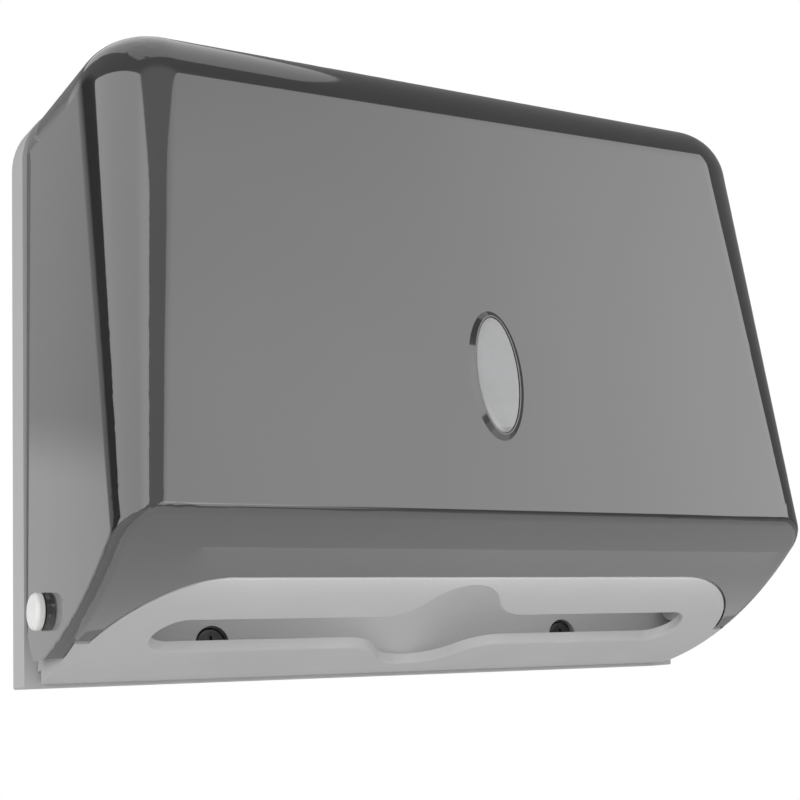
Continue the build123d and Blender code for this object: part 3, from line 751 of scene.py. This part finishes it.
def addHingePin(nodeName, pieceName, side, values):
    low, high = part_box(nodeName)
    outer = max(abs(low[0]), abs(high[0]))
    length = high[0] - low[0]
    centre = Vector(((low[0] + high[0]) / 2, (low[1] + high[1]) / 2, (low[2] + high[2]) / 2))
    top, base = 0.0, -values["capHeight"]
    tipRoot, tip = -length + values["tipLength"], -length
    rim = values["capRadius"] - values["capRounding"]
    dome = roundTurn(rim, top - values["capRounding"], values["capRounding"], 82, 4, 8)
    profile = [(0, top)] + dome
    profile += [(values["capRadius"], base + values["capFoot"]), (values["capRadius"] - values["capFoot"], base)]
    radius, neck, barb = values["radius"], values["neck"], values["barb"]
    profile += [(radius + neck, base), (radius, base - neck), (radius, tipRoot)]
    profile += [(radius + barb, tipRoot), (radius + barb, tipRoot - values["barbStep"])]
    profile += [(radius - barb, tip), (0, tip)]
    piece = turnOnLathe(pieceName, profile)
    slitCentre = tip + values["slitLength"] / 2 - values["slitShift"]
    slit = (values["slitWidth"], values["slitDepth"], values["slitLength"] + 2 * values["slitShift"])
    cutWith(piece, boxCutter(slit, (0, 0, slitCentre)))
    finishEdges(piece, values["edge"], angle=24)
    setInPlace(piece, (side * outer, centre.y, centre.z), (side, 0, 0))
    dress(piece, nodeName)


addHingePin("left_hinge_pin", "capPinLeft", -1, pinValues)
addHingePin("right_hinge_pin", "capPinRight", 1, pinValues)
print("stage: hinge pins")

# The screws. Heights are counted from the seat of the head, outwards.
screwValues = {
    "tray_screw_left": {"name": "wellScrewLeft", "headRadius": 0.0056, "headHeight": 0.0024, "radius": 0.00175},
    "tray_screw_right": {"name": "wellScrewRight", "headRadius": 0.0056, "headHeight": 0.0024, "radius": 0.00175},
    "keeper_screw_lower": {"name": "bracketScrewLow", "headRadius": 0.0027, "headHeight": 0.0018, "radius": 0.00145},
    "keeper_screw_upper": {"name": "bracketScrewHigh", "headRadius": 0.0027, "headHeight": 0.0018, "radius": 0.00145},
}


# What all the screws have in common. A share is a part of the radius, the pitch or the head's height.
screwShape = {
    "headEdge": 0.00015, "threadShare": 0.22, "startShare": 0.6, "point": 0.0012, "pointRadiusShare": 0.35,
    "pointRounding": 0.0001, "crossWidth": 0.0009, "crossDepthShare": 0.5, "crossPlaceShare": 0.76, "taper": 0.7,
    "edge": 0.00006,
}


def addScrew(nodeName, values, origin, outward, length, pitch=0.001):
    headRadius, headHeight, radius = values["headRadius"], values["headHeight"], values["radius"]
    shape = screwShape
    dome = headHeight / 2
    profile = [(0, headHeight)] + roundTurn(headRadius - dome, headHeight - dome, dome, 84, 6, 6)
    profile += [(headRadius, shape["headEdge"]), (headRadius - shape["headEdge"], 0), (radius, 0)]
    profile += threadProfile(radius, radius * shape["threadShare"], -pitch * shape["startShare"],
                             -length + shape["point"], pitch)
    profile += [(radius * shape["pointRadiusShare"], -length + shape["pointRounding"]), (0, -length)]
    piece = turnOnLathe(values["name"], profile, steps=48)
    depth = headHeight * shape["crossDepthShare"]
    place = (0, 0, headHeight * shape["crossPlaceShare"])
    for size in ((headRadius, shape["crossWidth"], depth), (shape["crossWidth"], headRadius, depth)):
        cutWith(piece, boxCutter(size, place, taper=shape["taper"]))
    finishEdges(piece, shape["edge"], segments=1, angle=32)
    setInPlace(piece, origin, outward)
    dress(piece, nodeName)


for nodeName, values in screwValues.items():
    low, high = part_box(nodeName)
    seat = low[1] + values["headHeight"]
    addScrew(nodeName, values, ((low[0] + high[0]) / 2, seat, (low[2] + high[2]) / 2), (0, -1, 0), high[1] - seat)
print("stage: screws")

# The lock, all on one axis square to the cover's top. Heights are counted out from that face.
lockOrigin = jointPlace["lock_turn"]
lockOutward = -jointAxis["lock_turn"]
lockValues = {
    "flangeRadius": 0.010, "flangeThickness": 0.0015, "flangeBevel": 0.0006,
    "sleeveRadius": 0.0069, "sleeveLength": 0.014, "threadDepth": 0.0004, "threadPitch": 0.001,
    "bore": 0.00505, "seatRadius": 0.00605, "seat": 0.00045,
    "barrelRadius": 0.005, "headRadius": 0.006, "headThickness": 0.001, "dish": 0.0003,
    "armTop": -0.0142, "armThickness": 0.002, "tang": 0.005,
    "keyLength": 0.0065, "keyWidth": 0.0015, "keyDepth": 0.005,
    "washerRadius": 0.010, "washerTop": -0.0025, "washerThickness": 0.0008,
    "nutAcross": 0.017, "nutThickness": 0.004,
    "screwRadius": 0.0015, "screwHeadRadius": 0.0032, "screwHeadHeight": 0.0018, "screwLength": 0.007,
    "rimEdge": 0.0002, "ringOuter": 0.0014, "ringInner": 0.0011, "threadStart": 0.0008, "threadEnd": 0.0004,
    "tangOverlap": 0.0005, "pilotRadius": 0.00152, "pilotDepth": 0.008, "washerPlay": 0.00002,
    "nutChamfer": 0.0045, "nutSlack": 0.0002, "nutBore": 0.00692,
}


def addLockHousing(values):
    top, bevel = values["flangeThickness"], values["flangeBevel"]
    profile = [(values["bore"], -values["sleeveLength"]), (values["bore"], values["seat"])]
    rim = values["rimEdge"]
    profile += [(values["seatRadius"], values["seat"]), (values["seatRadius"], top - rim)]
    profile += [(values["seatRadius"] + rim, top), (values["flangeRadius"] - bevel, top)]
    profile += roundTurn(values["flangeRadius"] - bevel, top - bevel, bevel, 75, 0, 5)
    profile += [(values["flangeRadius"], 0), (values["sleeveRadius"], 0)]
    foot = -values["sleeveLength"]
    profile += threadProfile(values["sleeveRadius"], values["threadDepth"], -values["threadStart"],
                             foot + values["threadEnd"], values["threadPitch"])
    profile += [(values["sleeveRadius"] - values["threadEnd"], foot), (values["bore"], foot)]
    piece = turnOnLathe("lockSleeve", profile, steps=96)
    finishEdges(piece, 0.00008, segments=2, angle=35)
    setInPlace(piece, lockOrigin, lockOutward)
    dress(piece, "lock_housing")


def addLockBarrel(values):
    top = values["flangeThickness"]
    under = top - values["headThickness"]
    head, rim = values["headRadius"], values["rimEdge"]
    profile = [(0, top - values["dish"]), (head - values["ringOuter"], top - values["dish"])]
    profile += [(head - values["ringInner"], top), (head - rim, top)]
    profile += [(head, top - rim), (head, under), (values["barrelRadius"], under)]
    profile += [(values["barrelRadius"], values["armTop"]), (0, values["armTop"])]
    piece = turnOnLathe("keyBarrel", profile, steps=96)
    tangDepth = values["armThickness"] + values["tangOverlap"]
    cutWith(piece, boxCutter((values["tang"], values["tang"], tangDepth),
                             (0, 0, values["armTop"] - values["armThickness"] + tangDepth / 2)), "UNION")
    slot = (values["keyLength"], values["keyWidth"], values["keyDepth"] + values["tangOverlap"])
    cutWith(piece, boxCutter(slot, (0, 0, top - values["keyDepth"] + slot[2] / 2)))
    shaftFoot = values["armTop"] - values["armThickness"]
    pilotRadius, pilotTop, pilotFoot = values["pilotRadius"], shaftFoot + values["pilotDepth"], shaftFoot - 0.001
    pilot = turnOnLathe("pilot", [(0, pilotFoot), (pilotRadius, pilotFoot), (pilotRadius, pilotTop), (0, pilotTop)],
                        steps=32)
    cutWith(piece, pilot)
    finishEdges(piece, 0.00015, angle=35)
    setInPlace(piece, lockOrigin, lockOutward)
    dress(piece, "lock_barrel")


def addLockWasher(values):
    top, thickness = values["washerTop"], values["washerThickness"]
    inner, outer = values["sleeveRadius"] + values["washerPlay"], values["washerRadius"]
    profile = [(inner, top), (outer, top), (outer, top - thickness), (inner, top - thickness), (inner, top)]
    piece = turnOnLathe("lockWasher", profile, steps=96)
    finishEdges(piece, 0.00012, angle=35)
    setInPlace(piece, lockOrigin, lockOutward)
    dress(piece, "lock_washer")


def addLockNut(values):
    top = values["washerTop"] - values["washerThickness"]
    thickness = values["nutThickness"]
    bpy.ops.object.select_all(action="DESELECT")
    bpy.ops.mesh.primitive_cylinder_add(vertices=6, radius=values["nutAcross"] / 2 / cos(pi / 6), depth=thickness,
                                        location=(0, 0, top - thickness / 2), rotation=(0, 0, radians(30)))
    piece = bpy.context.object
    piece.name = "lockNut"
    bpy.ops.object.transform_apply(location=True, rotation=True, scale=True)
    outer = values["nutAcross"] / 2 + values["nutSlack"]
    reach = values["nutAcross"]
    chamfer = turnOnLathe("chamfer", [(0, top), (outer, top), (reach, top - values["nutChamfer"]),
                                      (outer, top - thickness), (0, top - thickness)], steps=96)
    cutWith(piece, chamfer, "INTERSECT")
    radius, above, below = values["nutBore"], top + 0.001, top - 0.005
    bore = turnOnLathe("bore", [(0, above), (radius, above), (radius, below), (0, below)], steps=96)
    cutWith(piece, bore)
    finishEdges(piece, 0.00015, angle=25)
    setInPlace(piece, lockOrigin, lockOutward)
    dress(piece, "lock_nut")


addLockHousing(lockValues)
addLockBarrel(lockValues)
addLockWasher(lockValues)
addLockNut(lockValues)
armFoot = lockValues["armTop"] - lockValues["armThickness"]
camScrew = {"name": "armScrew", "headRadius": lockValues["screwHeadRadius"],
            "headHeight": lockValues["screwHeadHeight"], "radius": lockValues["screwRadius"]}
addScrew("lock_cam_screw", camScrew, lockOrigin + lockOutward * armFoot, -lockOutward, lockValues["screwLength"],
         pitch=0.0007)
print("stage: lock")

bpy.context.scene.view_settings.view_transform = "Standard"
